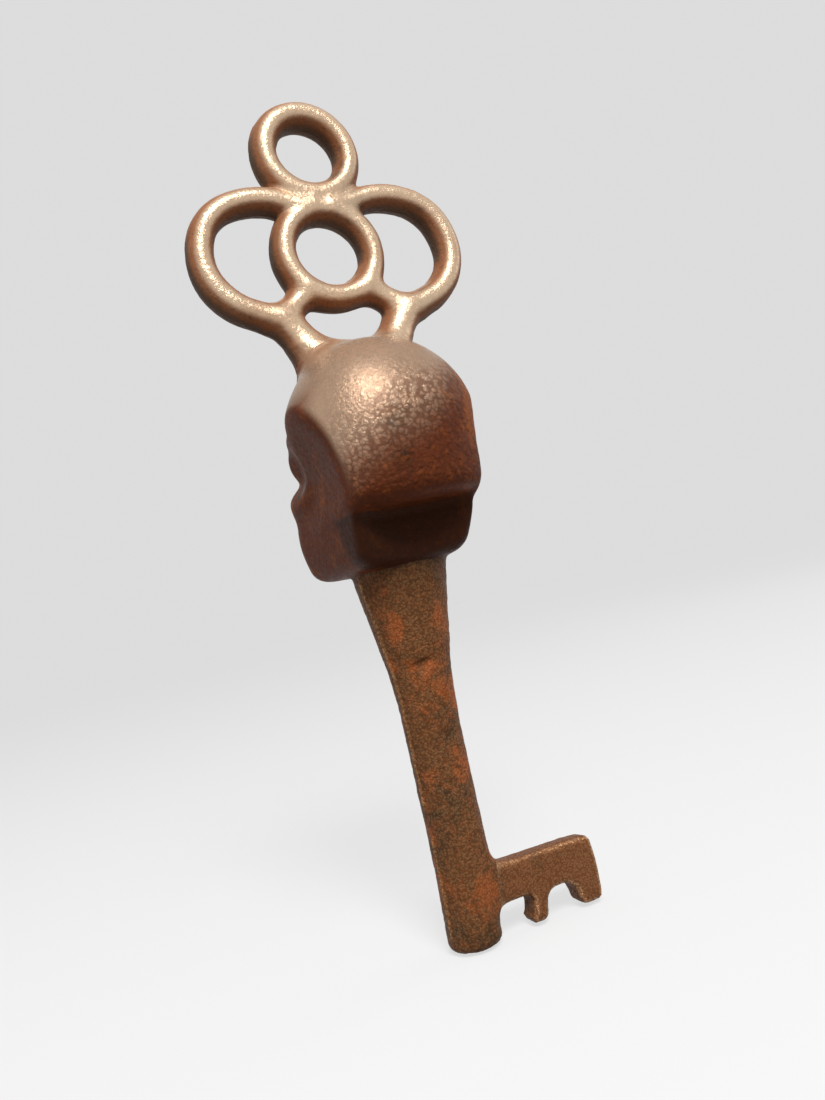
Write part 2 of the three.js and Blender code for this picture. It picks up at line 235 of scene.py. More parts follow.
def waved(turn, radius, waves):
    """Radius of a ring at a turn from its top: with waves a, b, c and d it is the radius
    + a sin turn + b cos turn + c cos 2 turn + d sin 2 turn."""
    a, b, c, d = waves
    return radius + a * np.sin(turn) + b * np.cos(turn) + c * np.cos(2 * turn) + d * np.sin(2 * turn)


def ring_distance(radius, z, waves):
    """Field of a ring: the oval section, measured from the ring's line in the bow's plane."""
    def field(p):
        turn = np.arctan2(p[:, 0], p[:, 2] - z)
        across = np.hypot(p[:, 0], p[:, 2] - z) - waved(turn, radius, waves)
        return oval_distance(across, p[:, 1], RING_WIDTH / 2, RING_DEPTH / 2)
    return field


def smooth_line(points, count):
    """Centripetal Catmull-Rom curve through the points, as that many points at equal steps along it:
    between two knots it is the cubic whose end slopes come from the chords on both sides."""
    points = np.array(points, float)
    knots = np.vstack([2 * points[0] - points[1], points, 2 * points[-1] - points[-2]])
    pieces = []
    for a, b, c, d in zip(knots, knots[1:], knots[2:], knots[3:]):
        ta, tb, tc = (np.sqrt(np.linalg.norm(q - p)) for p, q in ((a, b), (b, c), (c, d)))
        start = ((b - a) / ta - (c - a) / (ta + tb) + (c - b) / tb) * tb
        end = ((c - b) / tb - (d - b) / (tb + tc) + (d - c) / tc) * tb
        t = np.linspace(0, 1, 40, endpoint=False)[:, None]
        pieces.append(b + start * t + (3 * (c - b) - 2 * start - end) * t ** 2
                      + (2 * (b - c) + start + end) * t ** 3)
    line = np.vstack(pieces + [points[-1:]])
    far = np.concatenate([[0], np.cumsum(np.linalg.norm(np.diff(line, axis=0), axis=1))])
    steps = np.linspace(0, far[-1], count)
    return np.stack([np.interp(steps, far, line[:, i]) for i in range(2)], axis=1)


def loop_point(side, out, down):
    """A point of a side loop, as x and z, from its shares of the reach and of the height."""
    return side * out * LOOP_REACH - LOOP_SHIFT - LOOP_LEAN * down, LOOP_TOP_Z - down * LOOP_HEIGHT


def loop_line(side, count):
    """The middle of a side loop in the bow's plane, as x and z."""
    return smooth_line([loop_point(side, out, down) for out, down in LOOP_PATH_SHARES], count)


def loop_width(share):
    """Width of a loop's bar at a share of its line."""
    shares, widths = zip(*LOOP_SWELL_SHARES)
    return LOOP_WIDTH * np.interp(share, shares, widths)


def strut_line(side, count):
    """The middle of a strut, from inside the centre ring's bar to inside the loop's, as x and z."""
    start = np.array([side * STRUT_START_RADIUS * np.cos(STRUT_ANGLE),
                      CENTRE_RING_Z - STRUT_START_RADIUS * np.sin(STRUT_ANGLE)])
    end = np.array(loop_point(side, *STRUT_LANDING_SHARES))
    return start + (end - start) * np.linspace(0, 1, count)[:, None]


def line_tangents(line):
    """Direction of a line at each of its points, one unit long."""
    tangents = np.gradient(line, axis=0)
    return tangents / np.linalg.norm(tangents, axis=1, keepdims=True)


def bar_distance(line, widths, depth):
    """Field of a bar along a line in the bow's plane: the oval section, measured across the line at its
    nearest point, and the way past its end. The bar has a width at each point of its line."""
    tangents = line_tangents(line)

    def field(p):
        flat = p[:, [0, 2]]
        nearest = np.empty(len(p), int)
        for part in np.array_split(np.arange(len(p)), len(p) // 20000 + 1):
            gap = ((flat[part, None, :] - line[None]) ** 2).sum(-1)
            nearest[part] = gap.argmin(1)
        offset = flat - line[nearest]
        along = (offset * tangents[nearest]).sum(-1)
        across = offset[:, 1] * tangents[nearest, 0] - offset[:, 0] * tangents[nearest, 1]
        past = np.where(nearest == 0, -along, np.where(nearest == len(line) - 1, along, 0))
        oval = oval_distance(across, p[:, 1], widths[nearest] / 2, depth / 2)
        return np.hypot(np.maximum(oval, 0), np.maximum(past, 0)) + np.minimum(oval, 0)
    return field


def form_distance(x, y, z, form):
    """Distance to an ellipsoid: with r the scaled radius and g the length of its gradient, it is
    r (r - 1) / g."""
    width, depth, height, side, forward, rise = form
    a, b, c = width / 2, depth / 2, height / 2
    u, v, w = x - side, y + forward, z - rise
    scaled = np.sqrt((u / a) ** 2 + (v / b) ** 2 + (w / c) ** 2)
    slope = np.sqrt((u / a ** 2) ** 2 + (v / b ** 2) ** 2 + (w / c ** 2) ** 2)
    return scaled * (scaled - 1) / np.maximum(slope, 1e-9)


def dome_distance(x, y, z):
    """The dome: half an ellipsoid, a little full at its corners, above its widest level, and walls that
    drop almost straight and turn in at the nape below it, as a power mean with a high power."""
    q = DOME_SQUARENESS
    level = ((np.abs(x) / (DOME_WIDTH / 2)) ** q
             + (np.abs(y - DOME_BACK_SHIFT) / (DOME_LENGTH / 2)) ** q) ** (1 / q)
    power = np.where(z < 0, NAPE_SQUARENESS, 2.0)
    height = np.where(z < 0, -z / NAPE_DROP, z / DOME_HEIGHT)
    return ((level ** power + height ** power) ** (1 / power) - 1) * NAPE_DROP


def block_distance(x, y, z):
    """The block under the face: inside its bowed side, its front that leans back, its sloping back wall,
    its top and its underside, with rounded edges, and scooped at the back by an upright cylinder."""
    top, bite, bottom = -FACE_TOP_DROP, BITE_Z - DOME_Z, CHIN_Z - DOME_Z
    face_rise = np.clip((z - bite) / (top - bite), 0, 1)
    half = (FACE_WIDTH / 2 - FACE_TAPER_SHARE * (y + FACE_FRONT)
            - (z - bite - FACE_WIDEST_RISE) ** 2 / (2 * FACE_SIDE_RADIUS))
    front = FACE_FRONT - FACE_LEAN * face_rise ** FACE_LEAN_POWER
    back = (y - FACE_BACK - BACK_SLOPE * (z - bite)) / np.hypot(1, BACK_SLOPE)
    scoop = np.hypot(x, y - (FACE_BACK - SCOOP_DEPTH + SCOOP_RADIUS)) - SCOOP_RADIUS
    block = hollowed(x - half, y + front, FACE_CORNER)
    block = hollowed(block, -back, BACK_CORNER)
    block = hollowed(block, z - bottom, UNDERSIDE)
    block = hollowed(block, top - z, FIRM)
    return hollowed(block, scoop, FIRM)


def head_distance(p):
    """The head with its jaw: the forms above, joined and hollowed in turn."""
    x, y, z = np.abs(p[:, 0]), p[:, 1], p[:, 2] - DOME_Z
    head = blended(dome_distance(x, y, z), form_distance(x, y, z, FOREHEAD), SOFT)
    head = hollowed(head, form_distance(x, y, z, TEMPLE), FIRM)
    head = blended(head, block_distance(x, y, z), FIRM)
    head = blended(head, form_distance(x, y, z, CHEEK), SOFT)
    for form in (CHEEK_FRONT, BROW_RIDGE, BROW_END, NOSE_BRIDGE):
        head = blended(head, form_distance(x, y, z, form), FIRM)
    head = hollowed(head, form_distance(x, y, z, ORBIT_NOTCH), SOFT)
    head = blended(head, form_distance(x, y, z, CHIN), FIRM)
    return blended(head, form_distance(x, y, z, CROWN_PAD), BROAD)


def shank_radius(z):
    """Radius of the round bar: from the tip it narrows a little, runs straight and flares into the neck."""
    heights = [SHANK_END_Z, SHANK_END_Z + TIP_LENGTH]
    radii = [TIP_RADIUS, SHANK_RADIUS]
    for flare, rise in NECK_FLARE_SHARES:
        heights.append(CHIN_Z - NECK_LENGTH * (1 - rise))
        radii.append(SHANK_RADIUS + (NECK_RADIUS - SHANK_RADIUS) * flare)
    return np.interp(z, heights, radii)


def shank_shift(z):
    """How far the middle of the shank lies towards +X: a little the other way at the neck, and more and
    more at its worn tip."""
    heights = [SHANK_END_Z, SHANK_END_Z + TIP_LEAN_LENGTH, CHIN_Z - NECK_LENGTH, CHIN_Z]
    return np.interp(z, heights, [TIP_LEAN, 0, 0, -NECK_SHIFT])


def shank_distance(p):
    """Field of the shank: the distance to its side and to its two ends, with rounded edges between."""
    side = np.hypot(p[:, 0] - shank_shift(p[:, 2]), p[:, 1]) - shank_radius(p[:, 2]) + TIP_EDGE
    ends = np.maximum(SHANK_END_Z - p[:, 2], p[:, 2] - NECK_TOP_Z) + TIP_EDGE
    return (np.hypot(np.maximum(side, 0), np.maximum(ends, 0))
            + np.minimum(np.maximum(side, ends), 0) - TIP_EDGE)


def bit_places():
    """Distances from the shank's axis to the inner tooth's two sides, the wide notch's two and the outer
    tooth's inner one."""
    outer = BIT_REACH - OUTER_TOOTH
    notch_outer = outer - OUTER_LEAN
    notch_inner = notch_outer - WIDE_NOTCH
    inner = notch_inner - INNER_LEAN
    return inner - INNER_TOOTH, inner, notch_inner, notch_outer, outer


def bit_heights(x):
    """Top and bottom of the bit above the shank's end, at a distance x from the shank's axis."""
    inside, inner, notch_inner, notch_outer, outer = bit_places()
    xs = [0, inside - INNER_LEAN / 2, inside + INNER_LEAN / 2, inner, notch_inner, notch_outer, outer,
          BIT_REACH]
    zs = [INNER_NOTCH_HEIGHT, INNER_NOTCH_HEIGHT, BIT_FOOT, BIT_FOOT, WIDE_NOTCH_HEIGHT, WIDE_NOTCH_HEIGHT,
          BIT_FOOT, BIT_FOOT]
    return BIT_TOP - BIT_TOP_FALL * x / BIT_REACH, np.interp(x, xs, zs)


def rounded(corners, steps=8):
    """A closed outline with its corners, each given as x, z and a radius, turned into arcs."""
    points = []
    for i, (x, z, radius) in enumerate(corners):
        at = np.array([x, z])
        before = np.array(corners[i - 1][:2]) - at
        after = np.array(corners[(i + 1) % len(corners)][:2]) - at
        room = min(np.linalg.norm(before), np.linalg.norm(after)) / 2
        before, after = before / np.linalg.norm(before), after / np.linalg.norm(after)
        half = np.arccos(np.clip(before @ after, -1, 1)) / 2
        reach = min(radius / np.tan(half), room)
        if reach == 0:
            points.append(at)
            continue
        bisector = (before + after) / np.linalg.norm(before + after)
        centre = at + bisector * reach / np.cos(half)
        start, end = at + before * reach - centre, at + after * reach - centre
        turn = np.arctan2(start[0] * end[1] - start[1] * end[0], start @ end)
        for angle in np.linspace(0, turn, steps):
            points.append(centre + np.array([start[0] * np.cos(angle) - start[1] * np.sin(angle),
                                             start[0] * np.sin(angle) + start[1] * np.cos(angle)]))
    return np.array(points)


def bit_outline():
    """The bit's outline, as x from the axis and height above the shank's end."""
    inside, inner, notch_inner, notch_outer, outer = bit_places()
    low_top = BIT_TOP - BIT_TOP_FALL
    return rounded([
        (0, BIT_TOP, 0), (BIT_REACH - BIT_BULGE_INSET, low_top + BIT_BULGE, BIT_BULGE_CURVE),
        (BIT_REACH - BIT_CORNER_INSET, low_top, BIT_CORNER),
        (BIT_REACH + BIT_BOW, BIT_TOP / 2, BIT_BOW_CURVE), (BIT_REACH, BIT_FOOT, BIT_CORNER),
        (outer, BIT_FOOT, BIT_CORNER), (notch_outer, WIDE_NOTCH_HEIGHT, BIT_ARCH),
        (notch_inner, WIDE_NOTCH_HEIGHT, BIT_ARCH), (inner, BIT_FOOT, BIT_CORNER),
        (inside - BIT_HOOK, BIT_FOOT, BIT_HOOK_TIP),
        (inside + INNER_LEAN / 3, BIT_FOOT + BIT_HOOK_HEIGHT, BIT_HOOK_CURVE),
        (inside + INNER_LEAN, INNER_NOTCH_HEIGHT, BIT_CORNER),
        (0, INNER_NOTCH_HEIGHT, 0)])


BIT_OUTLINE = bit_outline()


def outline_distance(x, z, corners):
    """Signed distance to a closed outline: the least distance to its edges, negative inside it."""
    least = np.full(len(x), 1e9)
    inside = np.zeros(len(x), bool)
    for (ax, az), (bx, bz) in zip(corners, np.roll(corners, -1, axis=0)):
        ex, ez = bx - ax, bz - az
        t = np.clip(((x - ax) * ex + (z - az) * ez) / (ex ** 2 + ez ** 2), 0, 1)
        least = np.minimum(least, np.hypot(x - ax - t * ex, z - az - t * ez))
        if ez:
            inside ^= ((az > z) != (bz > z)) & (x < ax + (z - az) * ex / ez)
    return np.where(inside, -least, least)


def bit_distance(p):
    """Field of the bit: its outline, drawn through the plate's thickness with rounded edges, and its top
    tilted up towards +Y."""
    height = p[:, 2] - SHANK_END_Z
    tilt = BIT_TILT * p[:, 1] * ramp(height, BIT_TOP / 2, BIT_TOP)
    outline = outline_distance(-p[:, 0], height - tilt, BIT_OUTLINE) + BIT_EDGE
    through = np.abs(p[:, 1]) - BIT_HALF + BIT_EDGE
    return (np.hypot(np.maximum(outline, 0), np.maximum(through, 0))
            + np.minimum(np.maximum(outline, through), 0) - BIT_EDGE)


def loop_distance(side, count=160):
    """Field of a side loop."""
    return bar_distance(loop_line(side, count), loop_width(np.linspace(0, 1, count)), LOOP_DEPTH)


def strut_distance(side, count=24):
    """Field of a strut."""
    return bar_distance(strut_line(side, count), np.full(count, STRUT_WIDTH), STRUT_DEPTH)


FIELDS = {
    "top_ring": ring_distance(TOP_RING_RADIUS, TOP_RING_Z, TOP_RING_WAVES),
    "centre_ring": ring_distance(CENTRE_RING_RADIUS, CENTRE_RING_Z, CENTRE_RING_WAVES),
    "left_loop": loop_distance(1),
    "right_loop": loop_distance(-1),
    "left_strut": strut_distance(1),
    "right_strut": strut_distance(-1),
    "head": head_distance,
    "shank": shank_distance,
    "bit": bit_distance,
}
BOW = ["top_ring", "centre_ring", "left_loop", "right_loop", "left_strut", "right_strut"]
NEIGHBOURS = {name: [other for other in BOW if other != name] + ["head"] for name in BOW}
NEIGHBOURS["head"] = BOW + ["shank"]
NEIGHBOURS["shank"] = ["head", "bit"]
NEIGHBOURS["bit"] = ["shank"]


def seam_rise(name, z):
    """What is added to a field past the bite line, so that the skull ends inside the jaw and the jaw inside
    the skull: the square of the distance past it."""
    if name == "skull":
        return SEAM_SLOPE * np.maximum(BITE_Z - z, 0) ** 2
    if name == "jaw":
        return SEAM_SLOPE * np.maximum(z - BITE_Z, 0) ** 2
    return 0


def own_field(name):
    """Field of a piece by itself. The skull and the jaw are two parts of the head's."""
    field = FIELDS.get(name, head_distance)
    return lambda p: field(p) + seam_rise(name, p[:, 2])


def cast_field(name, near):
    """Field of a piece in the casting. The field of the whole casting is the least distance, less reach
    times the logarithm of the sum of exp((least distance - distance) / reach) over the near pieces. A piece
    keeps to it where its own distance is the least. Where that is s more than the least, it sinks in by
    s tanh(s / SINK), which starts so gently that no seam shows."""
    own = FIELDS.get(name, head_distance)

    def field(p):
        reach = np.interp(p[:, 2], FLOW_HEIGHTS, FLOW_REACHES)
        distances = [own(p)] + [FIELDS[other](p) for other in near]
        least = np.minimum.reduce(distances)
        total = sum(np.exp((least - distance) / reach) for distance in distances)
        past = distances[0] - least
        return least - reach * np.log(total) + past * np.tanh(past / SINK) + seam_rise(name, p[:, 2])
    return field


# Surfaces

def leave_solid(field, starts, ways, low, high, halvings=16):
    """Distance along each ray at which it leaves a solid, by halving the stretch from low to high."""
    low, high = low.copy(), high.copy()
    for _ in range(halvings):
        middle = (low + high) / 2
        out = field(starts + ways * middle[:, None]) > 0
        high = np.where(out, middle, high)
        low = np.where(out, low, middle)
    return low


def swell(name, starts, ways, reach):
    """Moves the points where rays leave a piece's own solid outwards to where they leave its swollen one.
    Returns the points, and how far each has moved."""
    points = starts + ways * reach[:, None]
    names = NEIGHBOURS.get(name, NEIGHBOURS["head"])
    close = np.stack([FIELDS[other](points) < FLOW_END for other in names])
    grown = reach.copy()
    for pattern in np.unique(close, axis=1).T:
        if pattern.any():
            part = (close == pattern[:, None]).all(0)
            field = cast_field(name, [other for other, used in zip(names, pattern) if used])
            grown[part] = leave_solid(field, starts[part], ways[part], reach[part],
                                      reach[part] + SWELL_ROOM, 13)
    return starts + ways * grown[:, None], grown - reach


def round_surface(name, centre, around, along, step=0.8, farthest=34):
    """Surface seen from a centre: u turns about the Y axis and v swings from the -Y pole to the +Y pole,
    and each point is where its ray leaves the piece."""
    u = np.linspace(0, 2 * np.pi, around, endpoint=False)[None, :]
    v = np.linspace(0, np.pi, along)[:, None]
    ways = np.stack([np.cos(u) * np.sin(v), -np.cos(v) + 0 * u, np.sin(u) * np.sin(v)], -1)
    ways = ways.reshape(-1, 3)
    starts = np.broadcast_to(np.array(centre, float), ways.shape)
    own = own_field(name)
    reach = np.full(len(ways), step)
    inside = np.arange(len(ways))
    while len(inside) and reach[inside].max() < farthest:
        kept = own(starts[inside] + ways[inside] * reach[inside, None]) <= 0
        inside = inside[kept]
        reach[inside] += step
    reach = leave_solid(own, starts, ways, reach - step, reach)
    points, _ = swell(name, starts, ways, reach)
    return points.reshape(along, around, 3), ways.reshape(along, around, 3)


def bar_surface(name, line, width, depth, sides, closed=False):
    """Surface of a bar along a line in the bow's plane: u goes round the oval section and v along the line,
    and each point is where a ray from the line leaves the bar."""
    if closed:
        tangents = np.roll(line, -1, axis=0) - np.roll(line, 1, axis=0)
        tangents /= np.linalg.norm(tangents, axis=1, keepdims=True)
    else:
        tangents = line_tangents(line)
    u = np.linspace(0, 2 * np.pi, sides, endpoint=False)
    across = np.cos(u) * width / 2
    through = np.sin(u) * depth / 2
    length = np.hypot(across, through)
    starts = np.stack([line[:, 0], 0 * line[:, 0], line[:, 1]], -1)
    starts = starts[:, None, :] + np.zeros((1, sides, 1))
    ways = np.stack([-tangents[:, 1, None] * across / length, through / length + 0 * tangents[:, :1],
                     tangents[:, 0, None] * across / length], -1)
    starts, ways = starts.reshape(-1, 3), ways.reshape(-1, 3)
    low = np.tile(length * 0.5, len(line))
    reach = leave_solid(own_field(name), starts, ways, low, low * 4)
    points, moved = swell(name, starts, ways, reach)
    return points.reshape(-1, sides, 3), moved, ways.reshape(-1, sides, 3)


def ring_line(radius, z, waves, count):
    """The middle of a ring's bar in the bow's plane, as x and z."""
    turn = np.linspace(0, 2 * np.pi, count, endpoint=False)
    r = waved(turn, radius, waves)
    return np.stack([r * np.sin(turn), z + r * np.cos(turn)], axis=1)


def settled(name, points, rounds=6, probe=0.05):
    """Points drawn onto a piece's swollen surface: each moves along the field's gradient, by the field's
    value over the gradient's length, a few times. The gradient is taken over a small probe both ways."""
    field = cast_field(name, NEIGHBOURS[name])
    for _ in range(rounds):
        value = field(points)
        slope = np.stack([field(points + probe * axis) - field(points - probe * axis)
                          for axis in np.eye(3)], -1) / (2 * probe)
        size = np.maximum((slope ** 2).sum(-1), 0.25)
        points = points - np.clip(value / size, -1, 1)[:, None] * slope
    return points


def shank_surface(around, along, end_rows=25):
    """Surface of the shank: u turns about its axis, and v follows its profile from the middle of its end,
    up its side and in to the middle of its top."""
    side = np.linspace(SHANK_END_Z, NECK_TOP_Z, along)
    end = np.linspace(0.02, 1, end_rows + 1)
    radii = np.concatenate([end[:-1] * TIP_RADIUS, shank_radius(side), end[::-1][1:] * NECK_RADIUS])
    radii = radii[:, None]
    heights = np.concatenate([np.full(end_rows, SHANK_END_Z), side, np.full(end_rows, NECK_TOP_Z)])
    u = np.linspace(0, 2 * np.pi, around, endpoint=False)[None, :]
    points = np.stack([radii * np.cos(u), radii * np.sin(u), heights[:, None] + 0 * u], -1)
    return settled("shank", points.reshape(-1, 3)).reshape(points.shape)


def bit_surface(around, along, section_share=0.42):
    """Surface of the bit: v goes from the shank's axis out to the bit's end, in equal steps along its
    toothed edge, and u goes round the plate's section, a rectangle whose flat sides take the section's
    share of the turn, from the toothed edge to the top."""
    x = np.linspace(0, BIT_REACH, 1200)
    top, bottom = bit_heights(x)
    far = np.concatenate([[0], np.cumsum(np.hypot(np.diff(x), np.diff(bottom)))])
    steps = np.linspace(0, far[-1], along)
    x = np.interp(steps, far, x)
    top, bottom = bit_heights(x)
    u = np.linspace(0, 2 * np.pi, around, endpoint=False)
    corner = np.maximum(np.abs(np.cos(u)) * section_share, np.abs(np.sin(u)))
    y = BIT_HALF * np.clip(np.cos(u) / corner * section_share, -1, 1)
    rise = np.clip(np.sin(u) / corner, -1, 1) / 2 + 0.5
    end = np.minimum(1, (BIT_REACH - x) / BIT_EDGE + 0.3)[:, None]
    middle = (top + bottom)[:, None] / 2
    points = np.stack([-x[:, None] + 0 * u, y * end,
                       SHANK_END_Z + middle + (top - bottom)[:, None] * (rise - 0.5) * end], -1)
    return settled("bit", points.reshape(-1, 3)).reshape(points.shape)


# Cast skin

def grain(points, size, seed):
    """Smooth random field from -1 to 1: hashed values at the corners of turned cubes of that size, blended
    between them by the fade 6 t^5 - 15 t^4 + 10 t^3."""
    a, b = 0.7 + seed * 0.37, 0.4 + seed * 0.61
    turn = np.array([[np.cos(a), -np.sin(a), 0], [np.sin(a), np.cos(a), 0], [0, 0, 1]]) @ np.array(
        [[1, 0, 0], [0, np.cos(b), -np.sin(b)], [0, np.sin(b), np.cos(b)]])
    cell = points @ turn.T / size + 31.7 * seed
    corner = np.floor(cell).astype(np.int64)
    t = cell - corner
    t = t ** 3 * (t * (t * 6 - 15) + 10)
    total = np.zeros(len(points))
    for dx, dy, dz in itertools.product((0, 1), repeat=3):
        i, j, k = (corner + (dx, dy, dz)).T
        drawn = i * 73856093 ^ j * 19349663 ^ k * 83492791
        drawn = (drawn ^ (seed * 2654435761)) & 0x7FFFFFFF
        drawn = ((drawn ^ (drawn >> 13)) * 1274126177) & 0x7FFFFFFF
        drawn = ((drawn ^ (drawn >> 16)) * 668265263) & 0x7FFFFFFF
        weight = (np.where(dx, t[:, 0], 1 - t[:, 0]) * np.where(dy, t[:, 1], 1 - t[:, 1])
                  * np.where(dz, t[:, 2], 1 - t[:, 2]))
        total += weight * (drawn / 0x3FFFFFFF - 1)
    return total


def grid_normals(points, closed):
    """Outward direction at each grid point: the cross product of the differences along u and v."""
    du = np.roll(points, -1, axis=1) - np.roll(points, 1, axis=1)
    if closed:
        dv = np.roll(points, -1, axis=0) - np.roll(points, 1, axis=0)
    else:
        dv = np.gradient(points, axis=0)
    normals = np.cross(du, dv)
    size = np.linalg.norm(normals, axis=-1, keepdims=True)
    return normals / np.maximum(size, 1e-12)


def outward_normals(points, closed, ways):
    """The same directions, turned the way that the rays of the surface leave it."""
    normals = grid_normals(points, closed)
    return -normals if (normals * ways).sum() < 0 else normals


def cast_skin(points, lump, pebble, fine):
    """Height of the cast skin in millimetres: broad lumps, pebbles about 1 mm wide and a fine grain."""
    return (lump * (grain(points, 6.5, 1) + 0.5 * grain(points, 3.1, 2))
            + pebble * (grain(points, 1.15, 3) + 0.7 * grain(points, 0.7, 4))
            + fine * (grain(points, 0.42, 5) + 0.6 * grain(points, 0.27, 6)))


# Wear

# Heights of the lumps, the pebbles and the fine grain of each skin
BOW_SKIN = (0.06, 0.014, 0.01)
DOME_SKIN = (0.02, 0.004, 0.004)
SHANK_SKIN = (0.08, 0.045, 0.03)
BIT_SKIN = (0.05, 0.025, 0.02)
SKIN_HEIGHT = 0.07
SHANK_SKIN_HEIGHT = 0.09
BOW_FOOT_Z = -45
BOW_CLEAR_Z = -35
# Where the top of the head is painted pale, partly as rubbed metal and partly as a painted highlight: from
# a level on its back upwards, which falls towards the left side
PALE_TOP_STARTS_Z = DOME_Z - 5
PALE_TOP_FULL_Z = DOME_Z + 6
PALE_TOP_SLANT = 0.6


def bow_share(points):
    """1 on the bow and 0 on the head, with a wandering change on the legs and the crown."""
    return ramp(points[:, 2] + 2 * grain(points, 4, 12), BOW_FOOT_Z, BOW_CLEAR_Z)


def head_top(points):
    """1 on the top of the head and 0 low on its back and on the face, with a slanting, wandering change."""
    x, y, z = points.T
    above_face = np.maximum(ramp(z, DOME_Z + 1, DOME_Z + 4), ramp(y, -6, -2))
    level = z + PALE_TOP_SLANT * x + 2 * grain(points, 7, 7)
    return ramp(level, PALE_TOP_STARTS_Z, PALE_TOP_FULL_Z) * above_face


def upper_skin(points):
    """Height of the cast skin, in the same way on the bow and on the head, so that their seams match."""
    high = bow_share(points)
    return high * cast_skin(points, *BOW_SKIN) + (1 - high) * cast_skin(points, *DOME_SKIN)


def rubbed_and_lit_share(points, normals):
    """How far the bow and the head are painted pale, partly as rubbed metal and partly as a painted
    highlight
    where the light falls: on the bow the crowns of the bars, front, back and above, and on the head all of
    its top."""
    high = bow_share(points)
    faced = ramp(np.maximum(np.abs(normals[:, 1]), 0.9 * normals[:, 2]), 0.6, 0.96)
    open_side = ramp(np.maximum(normals[:, 1], normals[:, 2]), 0.2, 0.6)
    return high * (0.1 + 0.75 * faced) + (1 - high) * 0.72 * head_top(points) * open_side


# Meshes

def added(name, data):
    """An object with that data, put in the scene."""
    made = bpy.data.objects.new(name, data)
    bpy.context.scene.collection.objects.link(made)
    return made


def casting(name, points, height, traits, material, closed=False):
    """Makes a piece from a grid of points in millimetres: u wraps round, v wraps too where closed, and else
    its first and last rows are drawn together in one point each. Height is how far the skin stands out at
    each point, and each trait is a number there for the material to read, both in the grid's order."""
    normals = grid_normals(points, closed)
    centre = points.mean((0, 1))
    if closed:
        outward = points - np.roll(points, points.shape[1] // 2, axis=1)
    else:
        outward = points - points.mean(1, keepdims=True)
    if (normals * outward).sum() < 0:
        normals = -normals
    rows, columns = points.shape[:2]
    skin = points + normals * height.reshape(rows, columns, 1)
    index = np.arange(rows * columns).reshape(rows, columns)
    right = np.roll(index, -1, axis=1)
    if closed:
        up, up_right = np.roll(index, -1, axis=0), np.roll(right, -1, axis=0)
        quads = np.stack([index, right, up_right, up], -1).reshape(-1, 4)
        ends = np.empty((0, 3), int)
        vertices = skin.reshape(-1, 3)
    else:
        quads = np.stack([index[:-1], right[:-1], right[1:], index[1:]], -1).reshape(-1, 4)
        first, last = rows * columns, rows * columns + 1
        ends = np.vstack([
            np.stack([right[0], index[0], np.full(columns, first)], -1),
            np.stack([index[-1], right[-1], np.full(columns, last)], -1)])
        vertices = np.vstack([skin.reshape(-1, 3), skin[0].mean(0), skin[-1].mean(0)])
    a, b, c, d = (vertices[quads[:, i]] for i in range(4))
    if (np.cross(c - a, d - b) * (a + b + c + d - 4 * centre)).sum() < 0:
        quads, ends = quads[:, ::-1], ends[:, ::-1]
    mesh = bpy.data.meshes.new(name)
    mesh.vertices.add(len(vertices))
    mesh.vertices.foreach_set("co", (vertices * MM).astype(np.float32).ravel())
    corners = np.concatenate([quads.ravel(), ends.ravel()])
    mesh.loops.add(len(corners))
    mesh.loops.foreach_set("vertex_index", corners.astype(np.int32))
    starts = np.concatenate([4 * np.arange(len(quads)), 4 * len(quads) + 3 * np.arange(len(ends))])
    mesh.polygons.add(len(starts))
    mesh.polygons.foreach_set("loop_start", starts.astype(np.int32))
    mesh.update(calc_edges=True)
    mesh.shade_smooth()
    for trait, values in traits.items():
        if not closed:
            values = np.concatenate([values, [values[:columns].mean(), values[-columns:].mean()]])
        attribute = mesh.attributes.new(trait, "FLOAT", "POINT")
        attribute.data.foreach_set("value", values.astype(np.float32))
    mesh.materials.append(material)
    piece = added(name + "_casting", mesh)
    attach(piece, "root")
    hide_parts(name)
    return piece


# Materials

def linked(tree, kind, inputs=(), **settings):
    """Adds a node, sets its properties, and fills its sockets with values or with other nodes' outputs."""
    node = tree.nodes.new(kind)
    for key, value in settings.items():
        setattr(node, key, value)
    for key, value in dict(inputs).items():
        if isinstance(value, bpy.types.NodeSocket):
            tree.links.new(value, node.inputs[key])
        else:
            node.inputs[key].default_value = value
    return node


def colour(hexadecimal):
    """Linear colour with alpha from a written sRGB one."""
    parts = [int(hexadecimal[i:i + 2], 16) / 255 for i in (0, 2, 4)]
    return (*(p / 12.92 if p <= 0.04045 else ((p + 0.055) / 1.055) ** 2.4 for p in parts), 1)


def mixed(tree, share, a, b):
    """Colour that goes from a to b as the share goes from 0 to 1."""
    node = tree.nodes.new("ShaderNodeMix")
    node.data_type = "RGBA"
    for socket, value in ((node.inputs[0], share), (node.inputs[6], a), (node.inputs[7], b)):
        if isinstance(value, bpy.types.NodeSocket):
            tree.links.new(value, socket)
        else:
            socket.default_value = value
    return node.outputs[2]


def stepped(tree, value, low, high, to_low=0.0, to_high=1.0):
    """Smooth step of a value from one range to another."""
    node = linked(tree, "ShaderNodeMapRange", interpolation_type="SMOOTHSTEP")
    tree.links.new(value, node.inputs["Value"])
    for key, number in (("From Min", low), ("From Max", high), ("To Min", to_low), ("To Max", to_high)):
        node.inputs[key].default_value = number
    return node.outputs["Result"]


# Shares that the colours reach where they are strongest
RUST_SHARE = 0.85
RUST_GRAIN_SHARE = 0.25
SPECK_SHARE = 0.45
GAP_SHARE = 0.25
PAINTED_SHADE_SHARE = 0.92
BARE_METAL_SHARE = 0.6
MATT = 0.5
GLOSS = 0.07
SAND_SIZE = 0.3
SAND_HEIGHT = 0.13
SPECK_SIZE = 0.6
SCALE_SIZE = 9
RUST_SIZE = 4.5


